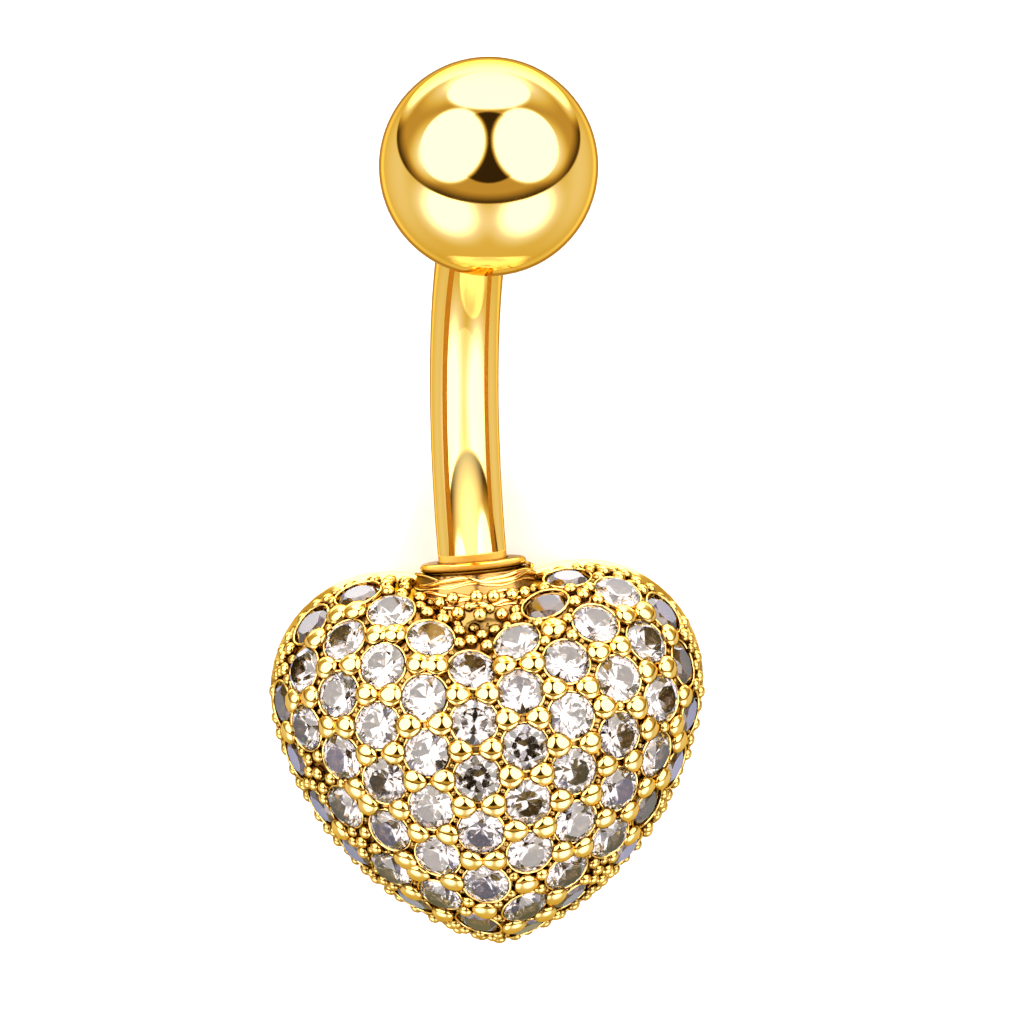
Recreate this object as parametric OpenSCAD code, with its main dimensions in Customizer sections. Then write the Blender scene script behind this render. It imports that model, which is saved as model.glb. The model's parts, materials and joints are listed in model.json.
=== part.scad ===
// Navel ring: a bent bar with a screw-on ball at its upper end and a puffed, paved heart at its lower end.
// Millimetres. It is drawn standing in the heart's own frame (x across, y up the bar, z to the front),
// and then laid on its back as it rests by itself, on the two lobes of the heart and the bend of the bar.

/* [Heart] */
// Width across the two lobes, over the back plate
heart_w = 10.16; // [8:0.01:13]
// Height from the tip to the top of the lobes
heart_h = 8.77; // [7.5:0.01:11]
// Radius of each lobe
lobe_r = 2.78; // [2.3:0.01:3]
// Radius of the long side from the lobe to the tip
side_r = 7.2; // [6:0.1:9]
// Radius of the tip
tip_r = 1.5; // [1.3:0.05:2]
// Radius of the hollow between the lobes
cleft_r = 1.2; // [0.8:0.05:2]
// Height of the dome in front of its widest line
dome_h = 3.8; // [2.5:0.05:5]
// Depth of the straight edge behind the widest line
edge_h = 0.75; // [0.4:0.05:1]
// Thickness of the dome's metal
dome_wall = 1.1; // [0.6:0.05:1.15]

/* [Back plate] */
// Thickness of the plate that closes the heart
plate_t = 0.6; // [0.4:0.05:1]
// Radius of the plate's back edge
plate_round = 0.4; // [0.2:0.05:0.4]
// How far the plate's edge stands out round the paved front
flange = 0.15; // [0.05:0.01:0.3]

/* [Collar] */
// Wall of the collar's cup round the bar's foot
cup_wall = 0.26; // [0.15:0.01:0.4]
// How far the lip stands out over the cup
lip_out = 0.14; // [0.1:0.01:0.3]
// Thickness of the lip
lip_t = 0.2; // [0.12:0.01:0.3]
// How far the lip's top stands above the lobes
lip_up = 0.23; // [0.15:0.01:0.8]
// How far the cup reaches over the plate, past the edge of the hollow between the lobes
cup_in = 0.74; // [0.5:0.02:1]
// Thickness of the cup's end
cup_end = 0.36; // [0.2:0.02:0.5]
// Wall of the heart's seat round the cup, at its top
boss_wall = 0.21; // [0.15:0.01:0.4]
// How much wider the seat is at its foot, all round
boss_flare = 0.4; // [0.1:0.05:0.5]
// How far the cup reaches down past the seat
boss_short = 0.21; // [0.1:0.01:0.4]

/* [Bar] */
// Diameter of the bar (14 gauge)
bar_d = 1.6; // [1.2:0.05:1.7]
// Length of the bend between the collar and the ball's shoulder
bar_l = 10; // [7:0.5:14]
// Radius of the bend, along the middle of the bar
bend_r = 9.5; // [8:0.5:14]
// Turn of the bend away from the heart's middle plane, in degrees
bar_twist = 10; // [-20:1:20]
// Lean of the collar and the bar to the left, in degrees
bar_lean = 1.5; // [-3:0.5:3]
// How far the collar sits to the right of the heart's middle line
collar_x = -0.15; // [-0.2:0.05:0.2]

/* [Post and ball] */
// Diameter of the ball
ball_d = 5; // [4:0.1:6]
// Depth of the seat that takes the bar's shoulder
seat_h = 0.15; // [0.1:0.01:0.3]
// Diameter of the post that the ball screws on
post_d = 1.16; // [0.9:0.02:1.16]
// Length of the post
post_l = 2.6; // [1.8:0.1:3]
// Bevel on the post's end
post_bevel = 0.15; // [0.05:0.01:0.25]

/* [Fits] */
// Gap between pieces that are fixed to each other
gap = 0.04; // [0.02:0.01:0.08]
// Gap round the post in the ball, and past its end
run_gap = 0.04; // [0.02:0.01:0.08]

/* [Smoothness] */
// Points round the heart
ring_n = 96; // [48:24:120]
// Sections over the dome's outside
outer_n = 13; // [8:1:16]
// Sections over the dome's inside
inner_n = 6; // [4:1:8]
// Sections over the plate's rounded edge
round_n = 4; // [2:1:6]

/* [Hidden] */
$fn = 96;
bar_r = bar_d / 2;
ball_r = ball_d / 2;
cup_r = bar_r + gap + cup_wall;
lip_r = cup_r + lip_out;
boss_r = cup_r + gap + boss_wall;
top_y = heart_h / 2;

// Centres of the outline's arcs, each tangent to the next: lobe, side, tip, and the hollow between the lobes
LOBE = [heart_w / 2 - lobe_r, heart_h / 2 - lobe_r];
TIP = [0, tip_r - heart_h / 2];
SIDE = tangent_centre(LOBE, side_r - lobe_r, TIP, side_r - tip_r);
CLEFT = [0, LOBE.y + sqrt(pow(lobe_r + cleft_r, 2) - pow(LOBE.x, 2))];

// Heights in front of the widest line: the seam behind the dome, the plate, and the bar, whose cup lies on the plate
seam_z = -edge_h;
plate_top = seam_z - gap;
back_z = plate_top - plate_t;
bar_z = seam_z + cup_r;

// Heights along the heart: the lip's top is where the bar's bend starts
lip_y = top_y + lip_up;
cup_l = lip_y - lip_t - (CLEFT.y - cleft_r) + cup_in;
boss_h = cup_l - gap - boss_short;
foot_l = lip_t + cup_l - cup_end - gap;
bend_a = bar_l / bend_r * 180 / PI;
// From the bar's shoulder to the ball's centre
ball_out = sqrt(pow(ball_r, 2) - pow(bar_r + run_gap, 2)) - seat_h;

// The centre that lies da from a and db from b, on the far side of the heart's middle from a
function tangent_centre(a, da, b, db) =
    let (ab = b - a, d = norm(ab), along = (da * da - db * db + d * d) / (2 * d), off = sqrt(da * da - along * along))
    a + along * ab / d + off * [ab.y, -ab.x] / d;

function unit(v) = v / norm(v);
function angle_of(p) = atan2(p.y, p.x);

// Along a ray from the heart's middle at angle a: where it leaves a circle, and where it enters one
function leaves(c, r, a) = let (u = [cos(a), sin(a)], m = c * u) m + sqrt(r * r - (c * c - m * m));
function enters(c, r, a) = let (u = [cos(a), sin(a)], m = c * u) m - sqrt(r * r - (c * c - m * m));

// Distance from the heart's middle to its outline at angle a, with the outline taken in by d
function outline(a, d) =
    let (b = cos(a) >= 0 ? asin(sin(a)) : asin(sin(180 - a)),
         cleft_from = angle_of(LOBE + (lobe_r - d) * unit(CLEFT - LOBE)),
         lobe_from = angle_of(LOBE + (lobe_r - d) * unit(LOBE - SIDE)),
         side_from = angle_of(TIP + (tip_r - d) * unit(TIP - SIDE)))
    b > cleft_from ? enters(CLEFT, cleft_r + d, b)
    : b > lobe_from ? leaves(LOBE, lobe_r - d, b)
    : b > side_from ? leaves(SIDE, side_r - d, b)
    : leaves(TIP, tip_r - d, b);

// The same with the hollow between the lobes bridged flat
function bridged(a, d) =
    let (r = outline(a, d)) sin(a) > 0 && abs(r * cos(a)) < LOBE.x ? (top_y - d) / sin(a) : r;

// One section of the dome at the lift angle e: it shrinks as the dome rises, and its hollow fills up
function section(e, d) = [for (k = [0 : ring_n - 1])
    let (a = 360 * k / ring_n, size = cos(e), r = outline(a, d),
         full = r + (1 - size) * (bridged(a, d) - r))
    [full * size * cos(a), full * size * sin(a), (dome_h - max(0, d - flange)) * sin(e)]];

// The straight edge behind the widest line
function edge_ring(d) = [for (p = section(0, d)) [p.x, p.y, seam_z]];

// One section of the plate's rounded back edge, at the angle e of the rounding
function plate_ring(e) = [for (k = [0 : ring_n - 1])
    let (a = 360 * k / ring_n, r = outline(a, plate_round * (1 - cos(e))))
    [r * cos(a), r * sin(a), back_z + plate_round * (1 - sin(e))]];

// The ball's centre: how far it lies in front of the lip and along the bar, then its place
ball_up = bend_r * (1 - cos(bend_a)) + ball_out * sin(bend_a);
ball_on = bend_r * sin(bend_a) + ball_out * cos(bend_a);
BALL = [collar_x + ball_up * sin(bar_twist) * cos(bar_lean) - ball_on * sin(bar_lean),
        lip_y + ball_up * sin(bar_twist) * sin(bar_lean) + ball_on * cos(bar_lean),
        bar_z + ball_up * cos(bar_twist)];

// Lowest height at tilt t, before the piece is set down: the lobes' back edges, the bend of the bar, the ball
function lobes_low(t) =
    (back_z + plate_round) * cos(t) - (LOBE.y + lobe_r - plate_round) * sin(t) - plate_round;
function bar_low(t) =
    let (across = cos(bar_twist) * cos(t) - sin(bar_twist) * sin(bar_lean) * sin(t), along = cos(bar_lean) * sin(t))
    bar_z * cos(t) - lip_y * sin(t) + bend_r * (across - norm([across, along])) - bar_r;
function ball_low(t) = BALL.z * cos(t) - BALL.y * sin(t) - ball_r;
// The tilt at which the bar or the ball comes down to the level of the lobes, found by halving
function rest_tilt(low, high, n) =
    let (mid = (low + high) / 2, clear = min(bar_low(mid), ball_low(mid)) - lobes_low(mid))
    n == 0 ? mid : clear > 0 ? rest_tilt(mid, high, n - 1) : rest_tilt(low, mid, n - 1);
rest_a = rest_tilt(0, 60, 40);

// The row's box: from the tip's back edge to the far side of the ball
low_y = (TIP.y - tip_r + plate_round) * cos(rest_a) + (back_z + plate_round) * sin(rest_a) - plate_round;
high_y = BALL.y * cos(rest_a) + BALL.z * sin(rest_a) + ball_r;

// Lays the piece down with its box's bottom centre at the origin
module at_rest() {
    translate([0, -(low_y + high_y) / 2, -lobes_low(rest_a)]) rotate([-rest_a, 0, 0]) children();
}

// The middle of the lip's top, with y up the foot of the bar
module at_lip() {
    translate([collar_x, lip_y, bar_z]) rotate([0, 0, bar_lean]) children();
}

// The collar's place: local z runs up the bar, from the lip's top
module at_collar() {
    at_lip() rotate([-90, 0, 0]) children();
}

// The bend's place: its centre is in front of the lip, and local x points back at the bar's foot
module at_bend() {
    at_lip() rotate([0, bar_twist, 0]) translate([0, 0, bend_r]) rotate([0, 90, 0]) children();
}

// The bar's shoulder: local z runs on along the bar into the ball
module at_shoulder() {
    at_bend() rotate([0, 0, bend_a]) translate([bend_r, 0, 0]) rotate([-90, 0, 0]) children();
}

// A closed surface through rings of points, from a point at the front to a point inside
module shell(rings, first, last) {
    n = len(rings[0]);
    points = concat([first], [for (r = rings) each r], [last]);
    end = len(points) - 1;
    polyhedron(points, concat(
        [for (k = [0 : n - 1]) [0, 1 + (k + 1) % n, 1 + k]],
        [for (i = [0 : len(rings) - 2], k = [0 : n - 1])
            let (a = 1 + i * n, b = a + n, j = (k + 1) % n) each [[a + k, a + j, b + k], [a + j, b + j, b + k]]],
        [for (k = [0 : n - 1]) let (a = end - n) [a + k, a + (k + 1) % n, end]]), convexity = 8);
}

module ball() {
    color("gold") at_rest() at_shoulder() difference() {
        translate([0, 0, ball_out]) sphere(ball_r);
        // the shoulder's seat stops short of the bar's end by the gap
        translate([0, 0, -ball_r]) cylinder(r = bar_r + run_gap, h = ball_r + gap);
        cylinder(r = post_d / 2 + run_gap, h = post_l + run_gap);
    }
}

module bar() {
    color("gold") at_rest() {
        at_bend() {
            translate([bend_r, 0]) rotate([90, 0, 0]) cylinder(r = bar_r, h = foot_l);
            rotate_extrude(angle = bend_a) translate([bend_r, 0]) circle(bar_r);
        }
        // the post is rooted inside the bend
        at_shoulder() rotate_extrude() polygon([[0, -bar_r], [post_d / 2, -bar_r], [post_d / 2, post_l - post_bevel],
            [post_d / 2 - post_bevel, post_l], [0, post_l]]);
    }
}

// A cup with a thin lip whose edge is round
module collar() {
    color("goldenrod") at_rest() at_collar() difference() {
        rotate_extrude() {
            translate([0, -lip_t]) square([lip_r - lip_t / 2, lip_t]);
            translate([lip_r - lip_t / 2, -lip_t / 2]) intersection() {
                circle(lip_t / 2);
                translate([0, -lip_t / 2]) square([lip_t / 2, lip_t]);
            }
            translate([0, -lip_t - cup_l]) square([cup_r, cup_l + lip_t / 2]);
        }
        translate([0, 0, -foot_l - gap]) cylinder(r = bar_r + gap, h = foot_l + gap + 1);
    }
}

// The paved dome: a hollow shell, and the flared seat for the collar's cup in the hollow between the lobes
module heart_front() {
    outer = concat([for (i = [outer_n - 1 : -1 : 0]) section(90 * i / outer_n, flange)], [edge_ring(flange)]);
    inset = flange + dome_wall;
    inner = concat([edge_ring(inset)], [for (i = [0 : inner_n - 1]) section(90 * i / inner_n, inset)]);
    color("khaki") at_rest() difference() {
        union() {
            shell(concat(outer, inner), [0, 0, dome_h], [0, 0, dome_h - dome_wall]);
            intersection() {
                at_collar() translate([0, 0, -lip_t - gap - boss_h])
                    cylinder(r1 = boss_r + boss_flare, r2 = boss_r, h = boss_h);
                translate([-heart_w / 2, 0, seam_z]) cube([heart_w, heart_h, edge_h + dome_h]);
            }
        }
        at_collar() translate([0, 0, -lip_t - cup_l - gap]) cylinder(r = cup_r + gap, h = cup_l + lip_t);
    }
}

// The plate: its side, then the sections of its rounded back edge, down to the flat back
module heart_back() {
    rings = concat([[for (p = plate_ring(0)) [p.x, p.y, plate_top]]],
        [for (i = [0 : round_n]) plate_ring(90 * i / round_n)]);
    color("gold") at_rest() shell(rings, [0, 0, plate_top], [0, 0, back_z]);
}

ball();
bar();
collar();
heart_front();
heart_back();
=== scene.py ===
import json
import math
import random

import bmesh
import bpy
import numpy as np
from mathutils import Matrix, Vector, noise
from mathutils.bvhtree import BVHTree


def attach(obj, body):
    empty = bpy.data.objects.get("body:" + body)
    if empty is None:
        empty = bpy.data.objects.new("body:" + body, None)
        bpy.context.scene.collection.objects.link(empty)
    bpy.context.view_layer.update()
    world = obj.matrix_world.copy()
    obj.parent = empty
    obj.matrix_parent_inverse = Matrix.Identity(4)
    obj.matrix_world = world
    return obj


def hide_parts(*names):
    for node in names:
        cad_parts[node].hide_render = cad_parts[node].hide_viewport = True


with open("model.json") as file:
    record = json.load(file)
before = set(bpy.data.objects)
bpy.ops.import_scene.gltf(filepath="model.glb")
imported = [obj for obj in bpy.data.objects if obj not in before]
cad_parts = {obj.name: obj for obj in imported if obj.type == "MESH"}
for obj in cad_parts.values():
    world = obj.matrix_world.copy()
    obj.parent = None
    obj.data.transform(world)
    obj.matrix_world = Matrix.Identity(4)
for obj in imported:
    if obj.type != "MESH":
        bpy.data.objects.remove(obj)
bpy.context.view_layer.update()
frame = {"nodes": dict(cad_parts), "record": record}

# The heart's own frame, in millimetres: x across the lobes, y from the tip to the bar, z out of the front.
# The heart lies on its back, so its flat back face in the record says how the whole piece is tilted.
mm = 0.001
plate_back = -1.39
back_face = next(m for m in frame["record"]["mounts"] if m["name"] == "back_face")
heart_out = -Vector(back_face["axis"]).normalized()
heart_across = Vector((1, 0, 0))
heart_up = heart_out.cross(heart_across)
heart_middle = Vector(back_face["pos_m"]) - heart_out * plate_back * mm
heart_turn = Matrix((heart_across, heart_up, heart_out)).transposed()
heart_place = Matrix.Translation(heart_middle) @ heart_turn.to_4x4() @ Matrix.Scale(mm, 4)

# Camera: a long lens about 28 cm away, nearly square on to the heart's back face, with the bar leaning
# left in the picture. The lens is aimed between the ball and the heart, so there is no shift.
lens_away, sensor_wide = 0.28, 36
picture_wide, pixels_a_metre = 1024, 42725.0
heart_in_picture = (491.25, 754.9)
picture_roll, picture_tip = math.radians(3.56), math.radians(4.75)
picture_turn = Matrix.Rotation(picture_roll, 3, "Z") @ Matrix.Rotation(picture_tip, 3, "X")
camera_axes = heart_turn @ picture_turn.transposed()
view_right, view_up, view_back = (camera_axes.col[i].copy() for i in range(3))
camera_at = heart_middle + view_back * lens_away
aim = heart_middle + view_right * (picture_wide / 2 - heart_in_picture[0]) / pixels_a_metre
aim += view_up * (heart_in_picture[1] - picture_wide / 2) / pixels_a_metre
camera_axes = (-view_back).rotation_difference((aim - camera_at).normalized()).to_matrix() @ camera_axes
lens = bpy.data.cameras.new("camera")
lens.sensor_width = sensor_wide
lens.lens = sensor_wide * lens_away * pixels_a_metre / picture_wide
lens.clip_start, lens.clip_end = 0.02, 20
camera = bpy.data.objects.new("camera", lens)
camera.matrix_world = Matrix.Translation(camera_at) @ camera_axes.to_4x4()
bpy.context.scene.collection.objects.link(camera)
bpy.context.scene.camera = camera
bpy.context.scene.view_settings.view_transform = "Standard"
bpy.context.scene.view_settings.look = "None"

# Studio: a pale floor, and a room as polished gold is photographed in. Two big softboxes stand left and
# right of the lens and one hangs beyond the ball, with warm walls between them and a dark screen round
# the lens. Below and behind the piece all is pale card.
world = bpy.data.worlds.new("studio")
bpy.context.scene.world = world
world.use_nodes = True
studio = world.node_tree
studio.nodes.clear()
look_at = studio.nodes.new("ShaderNodeTexCoord").outputs["Generated"]


def worked_out(tree, kind, operation, *values):
    """What a maths node gives. Each value is a number, a vector or another node's output."""
    node = tree.nodes.new("ShaderNode" + kind)
    node.operation = operation
    for socket, value in zip(node.inputs, values):
        if isinstance(value, bpy.types.NodeSocket):
            tree.links.new(value, socket)
        else:
            socket.default_value = value
    return node.outputs["Value"]


def ranged(tree, value, *limits, kind="SMOOTHSTEP"):
    """The value taken from one range to another. The limits are the first range's ends, then the second's."""
    node = tree.nodes.new("ShaderNodeMapRange")
    node.interpolation_type = kind
    for key, limit in zip(("From Min", "From Max", "To Min", "To Max"), limits):
        node.inputs[key].default_value = limit
    tree.links.new(value, node.inputs["Value"])
    return node.outputs["Result"]


def coloured(tree, value, stops):
    """The colour for a level. Each stop is a level and a colour."""
    node = tree.nodes.new("ShaderNodeValToRGB")
    while len(node.color_ramp.elements) < len(stops):
        node.color_ramp.elements.new(0.5)
    for element, (level, colour) in zip(node.color_ramp.elements, stops):
        element.position = level
        element.color = (*colour, 1)
    tree.links.new(value, node.inputs["Fac"])
    return node.outputs["Color"]


def towards(right, up, back):
    """A direction in the picture's own axes."""
    return (view_right * right + view_up * up + view_back * back).normalized()


def at_angles(across, above):
    """The direction so many degrees to the right of the lens and above it, seen from the piece."""
    turn, lift = math.radians(across), math.radians(above)
    return towards(math.sin(turn) * math.cos(lift), math.sin(lift), math.cos(turn) * math.cos(lift))


def oval(across, above, wide, tall, full, gone, level):
    """An oval light in this direction, of these half sizes in degrees. It has its level within one share of
    them, full, and nothing beyond another, gone."""
    spread, deep = 1.03, 0.9
    facing = at_angles(across, above)
    side = (view_right - facing * view_right.dot(facing)).normalized()
    place = studio.nodes.new("ShaderNodeMapping")
    place.vector_type = "TEXTURE"
    place.inputs["Location"].default_value = facing
    axes = Matrix((side, facing.cross(side), facing)).transposed()
    place.inputs["Rotation"].default_value = axes.to_euler()
    half_sizes = [spread * math.sin(math.radians(half)) for half in (wide, tall)]
    place.inputs["Scale"].default_value = (*half_sizes, deep)
    studio.links.new(look_at, place.inputs["Vector"])
    away = worked_out(studio, "VectorMath", "LENGTH", place.outputs[0])
    return ranged(studio, away, gone, full, 0, level)


def total(levels):
    light = levels[0]
    for part in levels[1:]:
        light = worked_out(studio, "Math", "ADD", light, part)
    return light


def times(one, other):
    return worked_out(studio, "Math", "MULTIPLY", one, other)


def all_but(level):
    return worked_out(studio, "Math", "SUBTRACT", 1.0, level)


wall_level, card_level, brightest = 0.29, 0.42, 5.0
below = worked_out(studio, "VectorMath", "DOT_PRODUCT", look_at, towards(0, -0.795, -0.606))
card = ranged(studio, below, 0.07, 0.11, 0, 1)
screen = oval(0, 18, 39, 39, 0.96, 1.02, 1)
room = total([
    times(ranged(studio, below, 0.09, -0.14, 0, wall_level), all_but(screen)),
    oval(-40, 19.5, 38, 41, 0.85, 1.0, 1), oval(42, 19.5, 38, 41, 0.85, 1.0, 1),
    oval(-60, 14, 34, 32, 0.2, 1.15, 0.75), oval(60, 15, 34, 32, 0.2, 1.15, 0.75),
    oval(0, 86, 33, 29, 0.78, 1.0, 1), oval(0, 104, 50, 30, 0.3, 1.1, 0.7),
    oval(0, 139, 54, 20, 0.6, 1.1, 1.0),
])
table = total([
    oval(0, 180, 42, 42, 0.75, 1.0, 0.25), oval(0, 180, 26, 26, 0.8, 1.0, -0.35),
    oval(-59, -44, 43, 42, 0.35, 1.1, 0.62), oval(58, -45, 43, 42, 0.35, 1.1, 0.62),
    oval(-125, 0, 45, 60, 0.3, 1.1, 0.17), oval(125, 0, 45, 60, 0.3, 1.1, 0.17),
])
light = total([times(card, total([table, card_level])), times(all_but(card), room)])
tones = [
    (0.00, (0.036, 0.024, 0.012)), (0.25, (0.48, 0.34, 0.12)), (0.42, (0.76, 0.68, 0.32)),
    (0.55, (0.86, 0.88, 0.80)), (0.68, (1.00, 1.07, 1.5)), (0.82, (1.8, 1.8, 2.6)), (1.00, (4.4, 4.4, 4.7)),
]
tone = coloured(studio, light, [(level, [c / brightest for c in colour]) for level, colour in tones])
glow = studio.nodes.new("ShaderNodeBackground")
glow.inputs["Strength"].default_value = brightest
studio.links.new(tone, glow.inputs["Color"])
studio.links.new(glow.outputs[0], studio.nodes.new("ShaderNodeOutputWorld").inputs["Surface"])


def surface(name, values):
    """A material whose main shader has these values."""
    material = bpy.data.materials.new(name)
    material.use_nodes = True
    for key, value in values.items():
        material.node_tree.nodes["Principled BSDF"].inputs[key].default_value = value
    return material


def mesh_of(name, shape):
    mesh = bpy.data.meshes.new(name)
    shape.to_mesh(mesh)
    shape.free()
    return mesh


def put(name, shape, material=None):
    """The shape becomes an object of the scene."""
    thing = bpy.data.objects.new(name, mesh_of(name, shape))
    bpy.context.scene.collection.objects.link(thing)
    if material:
        thing.data.materials.append(material)
    return thing


def only_seen_by(thing, *rays):
    for ray in ("camera", "diffuse", "glossy", "transmission", "volume_scatter", "shadow"):
        setattr(thing, "visible_" + ray, ray in rays)


floor_shape = bmesh.new()
bmesh.ops.create_circle(floor_shape, cap_ends=True, segments=64, radius=0.7)
pale_paper = surface("pale_paper", {
    "Base Color": (0.86, 0.86, 0.85, 1), "Roughness": 0.9, "Specular IOR Level": 0})
floor = put("floor", floor_shape, pale_paper)
floor.visible_glossy = False

backdrop_shape = bmesh.new()
bmesh.ops.create_uvsphere(backdrop_shape, u_segments=64, v_segments=32, radius=0.6)
pale_haze = surface("pale_haze", {
    "Base Color": (0, 0, 0, 1), "Specular IOR Level": 0,
    "Emission Color": (1, 1, 0.99, 1), "Emission Strength": 0.93})
backdrop = put("backdrop", backdrop_shape, pale_haze)
only_seen_by(backdrop, "camera")

# Ball: turned and polished brass, gold plated, with a shallow seat and a blind bore for the bar's post.
# It is spun from its profile, in millimetres along its own axis, with the bar's shoulder at zero.
bar_radius, running_gap = 0.8, 0.04
ball_radius, seat_deep, post_radius, post_long = 2.5, 0.15, 0.58, 2.6
bend_radius, bend_long = 9.5, 10.0
lip_at, bar_lean, bar_turn = (-0.15, 4.615, 0.35), 1.5, 10


def plain_gold(name, colour, rough_low, rough_high, ripple, painted_shade=None):
    """Gold plate, whose gloss and very fine ripple vary over the surface. The painted shade, when given, is
    two heights in millimetres and a darker colour painted at the lower one, standing in for the shade that
    falls in the recesses."""
    gold = surface(name, {"Metallic": 1, "Base Color": (*colour, 1), "Specular Tint": (0.75, 0.52, 0.24, 1)})
    tree = gold.node_tree
    shader = tree.nodes["Principled BSDF"]
    place = tree.nodes.new("ShaderNodeTexCoord").outputs["Object"]

    def cloud(scale, detail):
        texture = tree.nodes.new("ShaderNodeTexNoise")
        texture.inputs["Scale"].default_value = scale
        texture.inputs["Detail"].default_value = detail
        tree.links.new(place, texture.inputs["Vector"])
        return texture.outputs["Fac"]

    gloss = ranged(tree, cloud(900, 4), 0.35, 0.65, rough_low, rough_high, kind="LINEAR")
    tree.links.new(gloss, shader.inputs["Roughness"])
    bump = tree.nodes.new("ShaderNodeBump")
    bump.inputs["Strength"].default_value = 1
    bump.inputs["Distance"].default_value = ripple
    tree.links.new(cloud(5000, 3), bump.inputs["Height"])
    tree.links.new(bump.outputs["Normal"], shader.inputs["Normal"])
    # Painted shade: the colour darkens towards points that lie low over the dome, where shade falls in the
    # recesses.
    if painted_shade:
        height = tree.nodes.new("ShaderNodeAttribute")
        height.attribute_name = "height_mm"
        low, high, dark = painted_shade
        shade = coloured(tree, height.outputs["Fac"], [(low, dark), (high, colour)])
        tree.links.new(shade, shader.inputs["Base Color"])
    return gold


polished_gold = plain_gold("polished_gold", (0.98, 0.62, 0.16), 0.03, 0.06, 2e-7)


def make_piece(name, shape, place, material, body="heart", smooth=True, sharp=35):
    """The shape, drawn in millimetres, becomes a piece in its place, faces outwards, that rides on a body."""
    bmesh.ops.recalc_face_normals(shape, faces=shape.faces)
    if shape.calc_volume(signed=True) < 0:
        bmesh.ops.reverse_faces(shape, faces=shape.faces)
    shape.transform(place)
    piece = put(name, shape, material)
    for polygon in piece.data.polygons:
        polygon.use_smooth = smooth
    if smooth:
        piece.data.set_sharp_from_angle(angle=math.radians(sharp))
    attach(piece, body)
    return piece


def moved(x, y, z):
    return Matrix.Translation((x, y, z))


def turned(degrees, axis):
    return Matrix.Rotation(math.radians(degrees), 4, axis)


def onward(shape, vert, move):
    """Draws the profile on from a point of it."""
    bmesh.ops.extrude_vert_indiv(shape, verts=[vert])
    shape.verts.ensure_lookup_table()
    shape.verts[-1].co += Vector(move)
    return shape.verts[-1]


def turn_round(shape, steps):
    """Spins the profile a full turn about the local z axis and closes its poles."""
    bmesh.ops.spin(shape, geom=shape.verts[:] + shape.edges[:], cent=(0, 0, 0), axis=(0, 0, 1),
                   angle=math.tau, steps=steps, use_merge=True)
    bmesh.ops.remove_doubles(shape, verts=shape.verts, dist=1e-5)


lip_place = moved(*lip_at) @ turned(bar_lean, "Z")
bend_angle = bend_long / bend_radius
bend_middle = lip_place @ turned(bar_turn, "Y") @ moved(0, 0, bend_radius) @ turned(90, "Y")
shoulder = bend_middle @ Matrix.Rotation(bend_angle, 4, "Z") @ moved(bend_radius, 0, 0) @ turned(-90, "X")
seat_radius = bar_radius + running_gap
ball_out = math.sqrt(ball_radius ** 2 - seat_radius ** 2) - seat_deep
ball_shape = bmesh.new()
pole = ball_shape.verts.new((0, 0, ball_out + ball_radius))
bmesh.ops.spin(ball_shape, geom=[pole], cent=(0, 0, ball_out), axis=(0, 1, 0),
               angle=math.pi - math.asin(seat_radius / ball_radius), steps=72)
ball_shape.verts.ensure_lookup_table()
end = min(ball_shape.verts, key=lambda v: v.co.z)
for move in ((0, 0, seat_deep + running_gap), (post_radius + running_gap - seat_radius, 0, 0),
             (0, 0, post_long), (-post_radius - running_gap, 0, 0)):
    end = onward(ball_shape, end, move)
turn_round(ball_shape, 128)
ball = make_piece("turned_ball", ball_shape, heart_place @ shoulder, polished_gold, "ball")
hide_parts("ball")

# Bar: one piece of 14 gauge wire, bent and polished, with a plain foot in the collar and a post for the
# ball. A disc is drawn out straight, then swung round the bend's middle, then inset and drawn out again.
foot_long, post_chamfer = 1.302, 0.15


def verts_of(parts):
    return [v for v in parts if isinstance(v, bmesh.types.BMVert)]


def faces_of(parts):
    return [f for f in parts if isinstance(f, bmesh.types.BMFace)]


def draw_out(shape, faces, move):
    """Draws the faces out by a move, and gives the parts of the new end."""
    drawn = bmesh.ops.extrude_face_region(shape, geom=faces)["geom"]
    bmesh.ops.delete(shape, geom=faces, context="FACES_ONLY")
    bmesh.ops.translate(shape, verts=verts_of(drawn), vec=move)
    return drawn


bar_shape = bmesh.new()
bmesh.ops.create_circle(bar_shape, cap_ends=True, segments=64, radius=bar_radius,
                        matrix=moved(bend_radius, -foot_long, 0) @ turned(90, "X"))
foot = bmesh.ops.extrude_face_region(bar_shape, geom=bar_shape.faces[:])["geom"]
bmesh.ops.translate(bar_shape, verts=verts_of(foot), vec=(0, foot_long, 0))
top = [f for f in bar_shape.faces if all(abs(v.co.y) < 1e-5 for v in f.verts)]
swung = bmesh.ops.spin(bar_shape, geom=top, cent=(0, 0, 0), axis=(0, 0, 1), angle=bend_angle, steps=72)
bmesh.ops.delete(bar_shape, geom=top, context="FACES_ONLY")
top = faces_of(swung["geom_last"])
bmesh.ops.inset_region(bar_shape, faces=top, thickness=bar_radius - post_radius)
along = Vector((-math.sin(bend_angle), math.cos(bend_angle), 0))
top = faces_of(draw_out(bar_shape, top, along * (post_long - post_chamfer)))
tip = verts_of(draw_out(bar_shape, top, (0, 0, 0)))
middle = sum((v.co for v in tip), Vector()) / len(tip)
for v in tip:
    v.co = middle + (v.co - middle) * (post_radius - post_chamfer) / post_radius + along * post_chamfer
bar = make_piece("bent_bar", bar_shape, heart_place @ bend_middle, polished_gold)
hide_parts("bar")

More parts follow.
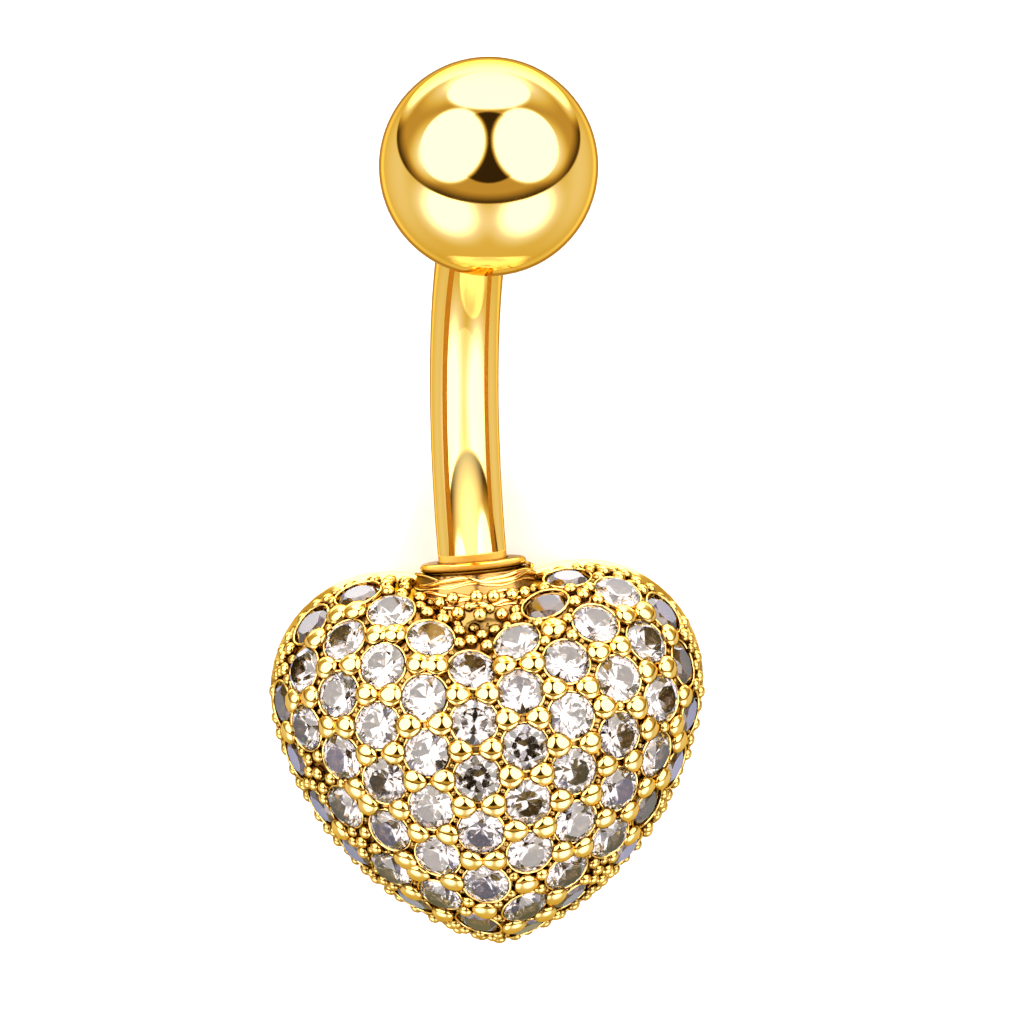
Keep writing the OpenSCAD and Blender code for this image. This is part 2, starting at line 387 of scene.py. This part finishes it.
# A low cool softbox lights the bar alone. It fades towards its sides and lower edge.
softbox_aim, softbox_away = Vector((0, 9, 0)), 0.1
softbox = bpy.data.lights.new("bar_softbox", "AREA")
softbox.shape = "RECTANGLE"
softbox.size, softbox.size_y, softbox.energy = 0.30, 0.19, 0.34
softbox.color = (0.62, 0.72, 1.0)
softbox.use_nodes = True
lamp_tree = softbox.node_tree
across_it = lamp_tree.nodes.new("ShaderNodeSeparateXYZ")
lamp_tree.links.new(lamp_tree.nodes.new("ShaderNodeNewGeometry").outputs["Parametric"], across_it.inputs[0])
from_edge = worked_out(lamp_tree, "Math", "PINGPONG", across_it.outputs[0], 0.5)
soft_sides = ranged(lamp_tree, from_edge, 0, 0.5, 0, 1)
towards_top = ranged(lamp_tree, across_it.outputs[1], 0.35, 0.7, 0.3, 1.3)
lamp_level = worked_out(lamp_tree, "Math", "MULTIPLY", soft_sides, towards_top)
lamp_tree.links.new(lamp_level, lamp_tree.nodes["Emission"].inputs["Strength"])
softbox_object = bpy.data.objects.new("bar_softbox", softbox)
softbox_facing = at_angles(0, -40)
softbox_axes = Matrix((view_right, softbox_facing.cross(view_right), softbox_facing)).transposed()
softbox_at = heart_place @ softbox_aim + softbox_facing * softbox_away
softbox_object.matrix_world = Matrix.Translation(softbox_at) @ softbox_axes.to_4x4()
softbox_object.visible_camera = False
bpy.context.scene.collection.objects.link(softbox_object)
only_bar = bpy.data.collections.new("only_bar")
only_bar.objects.link(bar)
softbox_object.light_linking.receiver_collection = only_bar

# Two brown strips, which only reflections see, follow the bend and draw the dark lines along the bar.
# Their edges are given in degrees round the bar from its front, on the left and on the right.
strip_away, strip_share, strip_early = 2.4, 0.8, 0.03
strips_shape = bmesh.new()
for side, edges in ((-1, (62, 79)), (1, (50, 65))):
    ends = []
    for edge in edges:
        angle = math.radians(edge)
        inwards, sideways = strip_away * math.cos(angle), strip_away * math.sin(angle)
        ends.append(strips_shape.verts.new((bend_radius - inwards, 0, side * sideways)))
    bmesh.ops.spin(strips_shape, geom=ends + [strips_shape.edges.new(ends)], cent=(0, 0, 0), axis=(0, 0, 1),
                   angle=bend_angle * strip_share, steps=24)
strips_shape.transform(heart_place @ bend_middle @ Matrix.Rotation(-bend_angle * strip_early, 4, "Z"))
brown_card = surface("brown_card", {
    "Base Color": (0.34, 0.21, 0.05, 1), "Roughness": 1, "Specular IOR Level": 0})
strips = put("dark_strips", strips_shape, brown_card)
only_seen_by(strips, "glossy")

# Collar: a turned cup with a thin round-edged lip, soldered into the hollow between the lobes. The bar's
# foot is soldered into it.
lip_radius, lip_thick, cup_radius, cup_long = 1.24, 0.2, 1.1, 1.502
round_at = lip_radius - lip_thick / 2
collar_shape = bmesh.new()
bottom = collar_shape.verts.new((bar_radius + running_gap, 0, -foot_long - running_gap))
end = onward(collar_shape, bottom, (0, 0, foot_long + running_gap))
end = onward(collar_shape, end, (round_at - bar_radius - running_gap, 0, 0))
bmesh.ops.spin(collar_shape, geom=[end], cent=(round_at, 0, -lip_thick / 2), axis=(0, 1, 0),
               angle=math.pi, steps=16)
end = min(collar_shape.verts, key=lambda v: (v.co - Vector((round_at, 0, -lip_thick))).length)
for move in ((cup_radius - lip_radius + lip_thick / 2, 0, 0), (0, 0, -cup_long), (-cup_radius, 0, 0)):
    end = onward(collar_shape, end, move)
onward(collar_shape, bottom, (-bar_radius - running_gap, 0, 0))
turn_round(collar_shape, 96)
up_the_bar = lip_place @ turned(-90, "X")
collar = make_piece("turned_collar", collar_shape, heart_place @ up_the_bar, polished_gold)
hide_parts("collar")

# Back plate: brass sheet cut to the heart's outline, its back edge rounded over, soldered on behind.
# Its edge is the thin smooth line round the paved front. It is the CAD plate, merged and smoothed.


def solid_copy(node):
    """A CAD solid in the heart's own frame."""
    shape = bmesh.new()
    shape.from_mesh(frame["nodes"][node].data)
    shape.transform(heart_place.inverted())
    bmesh.ops.remove_doubles(shape, verts=shape.verts, dist=2e-4)
    return shape


plate = make_piece("back_plate", solid_copy("heart_back"), heart_place, polished_gold, sharp=50)
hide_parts("heart_back")

# Where the stones sit: rows that run up the heart, each second row half a stone higher, laid out flat
# from the front of the dome and bent over it. Where room is left near the rim more are added, and there
# they push each other apart.
stone_radius, along_row, row_step, settled_apart = 0.53, 1.29, 1.135, 1.305
row_start, inside = Vector((-0.35, -0.2)), Vector((0, 0, -0.7))
rim_high, rows_below_rim, widest_line = 0.95, 0.25, 0.02
walk_step, walk_steps, beyond = 1.1, 80, 20
least_apart, room_for_one = 1.08, 1.16
firm_within, free_over, fully_free = 2.4, 1.6, 9
collar_x, collar_z = lip_place.translation.x, lip_place.translation.z
boss_low, boss_radius, bore_clear = 2.6, 1.65, 1.3
folds_low, folds_half = 3.62, 1.8
cleft_low, cleft_half, lowest_spot, spot_count = 3.85, 1.6, 0.25, 40000
rough_dome = solid_copy("heart_front")
skin = BVHTree.FromBMesh(rough_dome)


def down_the_dome(angle):
    """The surface from the dome's top down to its widest line, in this direction: points and the way gone."""
    points = []
    for k in range(walk_steps):
        tilt = math.radians(k * walk_step)
        level = math.sin(tilt)
        out = Vector((level * math.cos(angle), level * math.sin(angle), math.cos(tilt)))
        at = skin.ray_cast(inside + out * beyond, -out)[0]
        if at is None or at.z < widest_line:
            break
        points.append(at)
    gone = [0]
    for one, other in zip(points, points[1:]):
        gone.append(gone[-1] + (other - one).length)
    return points, gone


def on_skin(point):
    """The nearest point of the dome's surface, and the surface's normal there."""
    at, normal, _, _ = skin.find_nearest(point)
    return at, normal


def from_collar_axis(at):
    return math.hypot(at.x - collar_x, at.z - collar_z)


def in_the_bore(at):
    return at.y > boss_low and from_collar_axis(at) < bore_clear


def by_the_collar(at):
    """In the collar's bore, on the end of its boss, or among the folds below its lip."""
    on_boss = at.y > boss_low and from_collar_axis(at) < boss_radius
    return on_boss or (at.y > folds_low and abs(at.x - collar_x) < folds_half)


def settle(kept, rounds):
    """Neighbours that are too close push each other apart, the more the further they are from the front."""
    for _ in range(rounds):
        moves = [Vector() for _ in kept]
        for a in range(len(kept)):
            for b in range(a + 1, len(kept)):
                apart = kept[a][1] - kept[b][1]
                if apart.length < settled_apart:
                    push = apart.normalized() * (settled_apart - apart.length) * 0.5
                    moves[a] += push
                    moves[b] -= push
        for a, (far, at) in enumerate(kept):
            free = min(1, max(0, (far - firm_within) / free_over))
            at = on_skin(at + moves[a] * free)[0]
            if at.z < rim_high:
                at = on_skin(Vector((at.x, at.y, rim_high)))[0]
            kept[a] = (far, at)


def nearest(points, places):
    """How far each point is from the nearest of the places."""
    return np.linalg.norm(points[:, None] - np.array(places)[None], axis=2).min(1)


laid_out = []
for i in range(-8, 9):
    for j in range(-7, 8):
        flat = row_start + Vector((row_step * i, along_row * (j + 0.5 * (i % 2))))
        points, gone = down_the_dome(math.atan2(flat.y, flat.x))
        far = flat.length
        if far < gone[-1]:
            k = max(k for k in range(len(gone)) if gone[k] <= far)
            share = (far - gone[k]) / (gone[k + 1] - gone[k])
            laid_out.append((far, points[k].lerp(points[k + 1], share)))
laid_out.sort(key=lambda stone: stone[0])
kept = []
for far, at in laid_out:
    clear = all((at - other).length > least_apart for _, other in kept)
    if clear and at.z > rim_high - rows_below_rim and not by_the_collar(at):
        kept.append((far, at))
settle(kept, 60)

# Evenly spread spots on the outside of the dome, for finding what room is left.
dice = np.random.default_rng(7)
corners = np.array([[v.co for v in f.verts] for f in rough_dome.faces])
out = np.cross(corners[:, 1] - corners[:, 0], corners[:, 2] - corners[:, 0])
area = np.linalg.norm(out, axis=1)
pick = dice.choice(len(area), spot_count, p=area / area.sum())
mix = dice.random((spot_count, 2))
mix = np.where(mix.sum(1, keepdims=True) > 1, 1 - mix, mix)
first, second, third = (corners[pick, k] for k in range(3))
spots = first + (second - first) * mix[:, :1] + (third - first) * mix[:, 1:]
outer = ((spots - np.array(inside)) * out[pick]).sum(1) > 0
in_cleft = (spots[:, 1] > cleft_low) & (abs(spots[:, 0] - collar_x) < cleft_half)
spots = spots[outer & (spots[:, 2] > lowest_spot) & ~in_cleft]
spots = spots[[not in_the_bore(Vector(spot)) for spot in spots]]
high = spots[spots[:, 2] > rim_high]
high = high[[not by_the_collar(Vector(spot)) for spot in high]]
while True:
    gap = nearest(high, [at for _, at in kept])
    if gap.max() < room_for_one:
        break
    kept.append((fully_free, Vector(high[gap.argmax()])))
    settle(kept, 15)
settle(kept, 40)
stone_seats = [on_skin(at) for _, at in kept if not by_the_collar(at)]


def upright(at, normal, turn=0.0):
    """A place on the dome. Local z points out of it, and local x is turned about z from the heart's width."""
    across = Vector((1, 0, 0)) - normal * normal.x
    across.normalize()
    axes = Matrix((across, normal.cross(across), normal)).transposed()
    return Matrix.Translation(at) @ (axes @ Matrix.Rotation(turn, 3, "Z")).to_4x4()


def stamp(target, pattern, place):
    """Adds a copy of a small mesh to a joined shape."""
    before = len(target.verts)
    target.from_mesh(pattern)
    target.verts.ensure_lookup_table()
    bmesh.ops.transform(target, matrix=place, verts=target.verts[before:])


# Beads: a grain of gold is raised at each place where three stones meet and pushed over their edges to
# hold them. They are low and rounded, and come to a point between two stones of one row. Small grains
# fill what is left.
bead_long, bead_wide, bead_high, bead_lift = 0.31, 0.305, 0.165, 0.085
narrowing, point_out, towards_point = 0.24, 0.07, 0.03
neighbours_within, bead_needs, beads_apart = 1.75, 0.62, 0.36
no_bead, bead_grows, bead_covers = 0.43, 0.30, 0.26
side_by_side, too_steep, grain_from_bead, side_grain = 1.45, 0.8, 0.33, 0.085
over_stone, grains_lowest, smallest_room, largest_grain, grain_over = 0.02, 0.15, 0.105, 0.17, 0.015
sizes_vary, beads_vary, grain_heights, grain_lift = (0.96, 1.04), (0.92, 1.1), (0.75, 0.95), 0.35
bead_shape = bmesh.new()
bmesh.ops.create_icosphere(bead_shape, subdivisions=2, radius=1)
for v in bead_shape.verts:
    ahead = max(0, v.co.x)
    v.co.y *= 1 - narrowing * ahead
    v.co.x += point_out * ahead ** 2
pointed_bead = mesh_of("pointed_bead", bead_shape)
grain_shape = bmesh.new()
bmesh.ops.create_icosphere(grain_shape, subdivisions=2, radius=1)
round_grain = mesh_of("round_grain", grain_shape)
centres = [at for at, _ in stone_seats]
near = [[b for b, other in enumerate(centres) if b != a and (at - other).length < neighbours_within]
        for a, at in enumerate(centres)]
triples = [(a, b, c) for a in range(len(near)) for b in near[a] for c in near[a]
           if a < b < c and c in near[b]]
beads = []
for a, b, c in triples:
    first, second, third = centres[a], centres[b], centres[c]
    one, other = second - first, third - first
    cross = one.cross(other)
    offset = other.length_squared * cross.cross(one) + one.length_squared * other.cross(cross)
    at, normal = on_skin(first + offset / (2 * cross.length_squared))
    clear = min((at - centre).length for centre in centres)
    taken = any((at - bead[0]).length < beads_apart for bead in beads)
    if clear < bead_needs or in_the_bore(at) or taken:
        continue
    pairs = [(first, second), (second, third), (third, first)]
    steep = max(pairs, key=lambda pair: abs((pair[0] - pair[1]).normalized().y))
    point = (steep[0] + steep[1]) / 2 - at
    flat = upright(at, normal).to_3x3().transposed() @ point
    at, normal = on_skin(at + point.normalized() * towards_point)
    size = min(1, (clear - no_bead) / bead_grows)
    beads.append((at, normal, math.atan2(flat.y, flat.x), size, True))
grains = []
for a in range(len(centres)):
    for b in near[a]:
        apart = centres[a] - centres[b]
        if a < b and apart.length < side_by_side and abs(apart.normalized().y) < too_steep:
            at, normal = on_skin((centres[a] + centres[b]) / 2)
            if not in_the_bore(at) and all((at - bead[0]).length > grain_from_bead for bead in beads):
                grains.append((at, normal, 0, side_grain, False))


def room_beside(room, at, size):
    """The room left at each spot once a grain of this half size stands at a place."""
    return np.minimum(room, np.linalg.norm(spots - np.array(at), axis=1) - size)


room_left = np.minimum(nearest(spots, centres) - stone_radius + over_stone, spots[:, 2] - grains_lowest)
for at, _, _, size, pointed in beads + grains:
    room_left = room_beside(room_left, at, bead_covers * size if pointed else size)
while room_left.max() > smallest_room:
    at, normal = on_skin(Vector(spots[room_left.argmax()]))
    size = min(largest_grain, room_left.max() + grain_over)
    grains.append((at, normal, 0, size, False))
    room_left = room_beside(room_left, at, size)
# Painted shade on the beads and blocks: dark brown up to 0.06 mm over the dome, their own gold from 0.19 mm.
bead_painted_shade = (0.06, 0.19, (0.12, 0.06, 0.012))
bead_gold = plain_gold("bead_gold", (0.94, 0.61, 0.17), 0.04, 0.10, 6e-7, bead_painted_shade)
luck = random.Random(3)


def leaning(most_x, most_y):
    """A small chance lean."""
    lean_x = Matrix.Rotation(luck.uniform(-most_x, most_x), 4, "X")
    return lean_x @ Matrix.Rotation(luck.uniform(-most_y, most_y), 4, "Y")


def mark_height(piece):
    """Each point keeps its height over the dome in millimetres, for the painted shade in the recesses."""
    heights = piece.data.attributes.new("height_mm", "FLOAT", "POINT")
    back = heart_place.inverted()
    for v, item in zip(piece.data.vertices, heights.data):
        point = back @ v.co
        at, normal = on_skin(point)
        item.value = (point - at).dot(normal)


beads_shape = bmesh.new()
for at, normal, turn, size, pointed in beads + grains:
    grown = size * luck.uniform(*sizes_vary)
    if pointed:
        tall = bead_high * luck.uniform(*beads_vary)
        form = Matrix.Diagonal((bead_long * grown, bead_wide * grown, tall, 1))
        lift = bead_lift
    else:
        form = Matrix.Diagonal((grown, grown, grown * luck.uniform(*grain_heights), 1))
        lift = grown * grain_lift
    place = upright(at, normal, turn) @ moved(0, 0, lift) @ leaning(0.1, 0.1) @ form
    stamp(beads_shape, pointed_bead if pointed else round_grain, place)
beads_piece = make_piece("beads", beads_shape, heart_place, bead_gold, sharp=180)
# The beads' points low over the dome get the painted shade.
mark_height(beads_piece)

# Seats: round each stone the metal is turned up into a thin bright rim.
rim_radius, rim_thick, rim_lift = 0.568, 0.032, 0.03
cast_gold = plain_gold("cast_gold", (0.90, 0.58, 0.17), 0.05, 0.12, 6e-7)


def hoop(radius, thick, steps):
    """A thin wire bent to a closed ring about local z."""
    shape = bmesh.new()
    bmesh.ops.create_circle(shape, segments=6, radius=thick, matrix=moved(radius, 0, 0) @ turned(90, "X"))
    bmesh.ops.spin(shape, geom=shape.verts[:] + shape.edges[:], cent=(0, 0, 0), axis=(0, 0, 1),
                   angle=math.tau, steps=steps, use_merge=True)
    return shape


ring = mesh_of("ring", hoop(rim_radius, rim_thick, 22))
rims_shape = bmesh.new()
for at, normal in stone_seats:
    place = upright(at, normal, luck.uniform(0, 1))
    stamp(rims_shape, ring, place @ moved(0, 0, luck.uniform(0, rim_lift)))
rims = make_piece("seat_rims", rims_shape, heart_place, cast_gold, sharp=180)

# Rim: a row of small upright blocks stands round the foot of the dome, just above the plate, with dark slots
# between them, partly real shade and partly shade painted on the blocks' low parts. There are none by the
# collar.
block_sizes, block_bevel, block_pitch, block_out = (0.25, 0.2, 0.84), 0.06, 0.43, 0.01
block_widths, block_heights = (0.85, 1.1), (0.92, 1.1)
rim_middle, rim_steps, rim_break, no_block_half = Vector((0, -0.4, -0.12)), 1440, 0.3, 1.5
from_outside, wall_slope = 9, 0.5
block_shape = bmesh.new()
bmesh.ops.create_cube(block_shape, size=1)
block_shape.transform(Matrix.Diagonal((*block_sizes, 1)))
bmesh.ops.bevel(block_shape, geom=block_shape.verts[:] + block_shape.edges[:], offset=block_bevel, segments=2,
                profile=0.5, affect="EDGES", material=-1)
block = mesh_of("block", block_shape)
blocks_shape = bmesh.new()
gone, last = 0, None
for k in range(rim_steps):
    angle = math.tau * k / rim_steps
    out = Vector((math.cos(angle), math.sin(angle), 0))
    at, normal, _, _ = skin.ray_cast(rim_middle + out * from_outside, -out)
    if at is None or abs(normal.z) > wall_slope:
        last = None
        continue
    if last is not None and (at - last).length < rim_break:
        gone += (at - last).length
    last = at
    if gone > block_pitch and not (at.y > boss_low and abs(at.x - collar_x) < no_block_half):
        gone = 0
        away = Vector((normal.x, normal.y, 0)).normalized()
        axes = Matrix((Vector((-away.y, away.x, 0)), away, Vector((0, 0, 1)))).transposed()
        form = Matrix.Diagonal((luck.uniform(*block_widths), 1, luck.uniform(*block_heights), 1))
        stamp(blocks_shape, block, Matrix.Translation(at + away * block_out) @ axes.to_4x4() @ form)
blocks = make_piece("rim_blocks", blocks_shape, heart_place, bead_gold, sharp=60)
# The blocks' points low over the dome are painted dark brown: painted shade in the slots between them.
mark_height(blocks)

# Ridges: below the collar's lip the gold is worked up in fine uneven folds round the seat. Each is an
# open hoop, which ends in the gold above the back plate.
folds, fold_end, first_fold, folds_deep = 9, -0.6, 0.27, 0.72
fold_thin, fold_thicker, fold_radius, fold_flare, flare_from = 0.03, 0.03, 1.34, 0.36, 0.24
wave_close, wave_apart, wave_up, wave_out = 1.6, 7.3, 0.12, 0.05
ridges_shape = bmesh.new()
noise.seed_set(5)
for k in range(folds):
    below_lip = first_fold + folds_deep * k / (folds - 1)
    thick = fold_thin + fold_thicker * (k % 3) / 2
    fold = hoop(fold_radius + fold_flare * (below_lip - flare_from), thick, 72)
    for v in fold.verts:
        wave = noise.noise_vector(Vector((v.co.x * wave_close, v.co.y * wave_close, k * wave_apart)))
        v.co.z += wave.z * wave_up
        v.co.xy *= 1 + wave.x * wave_out
    fold.transform(up_the_bar @ moved(0, 0, -below_lip) @ leaning(0.08, 0.09))
    whole = fold.verts[:] + fold.edges[:] + fold.faces[:]
    bmesh.ops.bisect_plane(fold, geom=whole, plane_co=(0, 0, fold_end), plane_no=(0, 0, -1), clear_outer=True)
    bmesh.ops.holes_fill(fold, edges=[e for e in fold.edges if e.is_boundary], sides=0)
    stamp(ridges_shape, mesh_of("fold", fold), Matrix())
ridges = make_piece("seat_ridges", ridges_shape, heart_place, cast_gold, sharp=180)

# A satin cover over the paved front, seen only in reflections and only from outside, keeps the stones'
# glitter out of the ball and the bar, as retouching does in the photo.
cover_size = 1.08
cover_shape = solid_copy("heart_front")
cover_shape.transform(heart_place @ Matrix.Scale(cover_size, 4))
satin = surface("one_sided_satin", {"Base Color": (0.72, 0.70, 0.55, 1), "Roughness": 0.6, "Metallic": 1})
satin_tree = satin.node_tree
satin_mix = satin_tree.nodes.new("ShaderNodeMixShader")
sources = (satin_tree.nodes.new("ShaderNodeNewGeometry").outputs["Backfacing"],
           satin_tree.nodes["Principled BSDF"].outputs[0],
           satin_tree.nodes.new("ShaderNodeBsdfTransparent").outputs[0])
for source, socket in zip(sources, satin_mix.inputs):
    satin_tree.links.new(source, socket)
satin_tree.links.new(satin_mix.outputs[0], satin_tree.nodes["Material Output"].inputs["Surface"])
cover = put("heart_cover", cover_shape, satin)
for polygon in cover.data.polygons:
    polygon.use_smooth = True
only_seen_by(cover, "glossy")

# Dome: cast brass, gold plated, with a seat drilled for each stone: a short straight wall, then a cone
# for its point. It is the CAD dome, made into fine even cells, drilled, and then drawn clear of the
# collar inside its bore.
seat_wide, seat_point, cone_deep, cone_middle, wall_long = 0.548, 0.03, 0.46, -0.28, 0.5
cell, near_bore, floor_slack, floor_reach = 0.085, 0.85, 0.02, 0.12
bore_radius, bore_floor = cup_radius + running_gap, -lip_thick - cup_long
drill_shape = bmesh.new()
bmesh.ops.create_cone(drill_shape, cap_ends=True, segments=24, radius1=seat_point, radius2=seat_wide,
                      depth=cone_deep, matrix=moved(0, 0, cone_middle))
draw_out(drill_shape, [f for f in drill_shape.faces if f.normal.z > 0.9], (0, 0, wall_long))
drill = mesh_of("drill", drill_shape)
drills_shape = bmesh.new()
for at, normal in stone_seats:
    stamp(drills_shape, drill, upright(at, normal))
drills = put("drills", drills_shape)
blank = put("blank", rough_dome)


def modified(thing):
    """The mesh that the object's modifiers make."""
    bpy.context.view_layer.update()
    return bpy.data.meshes.new_from_object(thing.evaluated_get(bpy.context.evaluated_depsgraph_get()))


remesh = blank.modifiers.new("remesh", "REMESH")
remesh.mode = "VOXEL"
remesh.voxel_size = cell
fine = modified(blank)
blank.modifiers.clear()
blank.data = fine
cut = blank.modifiers.new("cut", "BOOLEAN")
cut.operation = "DIFFERENCE"
cut.solver = "MANIFOLD"
cut.object = drills
drilled = modified(blank)
bpy.data.objects.remove(blank)
bpy.data.objects.remove(drills)
dome_shape = bmesh.new()
dome_shape.from_mesh(drilled)
bmesh.ops.dissolve_degenerate(dome_shape, edges=dome_shape.edges, dist=2e-3)
bmesh.ops.triangulate(dome_shape, faces=[f for f in dome_shape.faces if len(f.verts) > 4])
up_the_bore = up_the_bar.inverted()
for v in dome_shape.verts:
    local = up_the_bore @ v.co
    from_axis = math.hypot(local.x, local.y)
    if local.z > bore_floor - floor_slack and near_bore < from_axis < bore_radius:
        local.xy *= bore_radius / from_axis
        v.co = up_the_bar @ local
    elif bore_floor - floor_reach < local.z <= bore_floor and from_axis <= bore_radius:
        local.z = min(local.z, bore_floor - running_gap)
        v.co = up_the_bar @ local
# The gold between the seats is painted dark brown, as painted shade for the deep shade between the stones.
# Its roughness and ripple are real.
seat_gold_painted_shade = plain_gold("seat_gold_painted_shade", (0.30, 0.17, 0.045), 0.14, 0.34, 6e-6)
dome = make_piece("paved_dome", dome_shape, heart_place, seat_gold_painted_shade, sharp=40)
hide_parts("heart_front")

# Stones: clear round brilliants, cut plane by plane from a short rod as a lapidary does. Each cut has a
# number of facets, the first one's turn in facets, the lean of its normal from the stone's axis in
# degrees, and a point on the plane: how far out and how high, in millimetres.
table_high = 0.157
cuts = [
    (1, 0, 0, 0, table_high),
    (8, 0, 34.5, stone_radius, 0.012),
    (16, 0.5, 41, stone_radius * 0.993, 0.010),
    (8, 0.5, 21, 0.335, table_high * 0.93),
    (8, 0, 180 - 40.75, stone_radius, -0.012),
    (16, 0.5, 180 - 42.6, stone_radius * 0.995, -0.010),
]
glint_spots = [(-2.70, 1.94), (-1.50, 0.0), (-1.55, 1.36)]
glint_tilt, sunk_front, sunk_outer, front_normal = 0.17, 0.03, -0.08, 0.5
stone_shape = bmesh.new()
bmesh.ops.create_cone(stone_shape, cap_ends=True, segments=32, radius1=stone_radius, radius2=stone_radius,
                      depth=1.4)
for count, first, degrees, far_out, high_up in cuts:
    lean = math.radians(degrees)
    reach = far_out * math.sin(lean) + high_up * math.cos(lean)
    for k in range(count):
        turn = (k + first) * math.tau / count
        out = Matrix.Rotation(turn, 3, "Z") @ Vector((math.sin(lean), 0, math.cos(lean)))
        whole = stone_shape.verts[:] + stone_shape.edges[:] + stone_shape.faces[:]
        made = bmesh.ops.bisect_plane(stone_shape, geom=whole, plane_co=out * reach, plane_no=out,
                                      clear_outer=True, dist=1e-6)
        edges = [e for e in made["geom_cut"] if isinstance(e, bmesh.types.BMEdge)]
        if edges:
            bmesh.ops.edgenet_fill(stone_shape, edges=[e for e in edges if e.is_boundary])
brilliant = mesh_of("brilliant", stone_shape)
stones_shape = bmesh.new()
to_softbox = heart_turn.transposed() @ (view_back + at_angles(-39, 16)).normalized()
glints = [min(range(len(stone_seats)), key=lambda k: (stone_seats[k][0].xy - Vector(spot)).length)
          for spot in glint_spots]
for k, (at, normal) in enumerate(stone_seats):
    lean = leaning(0.05, 0.05)
    if k in glints:
        tilt = to_softbox - normal
        normal = (normal + tilt.normalized() * min(glint_tilt, tilt.length)).normalized()
        lean = Matrix()
    place = upright(at, normal, luck.uniform(0, math.tau))
    sunk = sunk_front if normal.z > front_normal else sunk_outer
    stamp(stones_shape, brilliant, place @ moved(0, 0, sunk) @ lean)
clear_stone = surface("clear_stone", {
    "Base Color": (0.345, 0.30, 0.265, 1), "Specular Tint": (1.0, 0.93, 0.82, 1),
    "Roughness": 0.07, "IOR": 1.9, "Transmission Weight": 1})
stones_piece = make_piece("stones", stones_shape, heart_place, clear_stone, smooth=False)
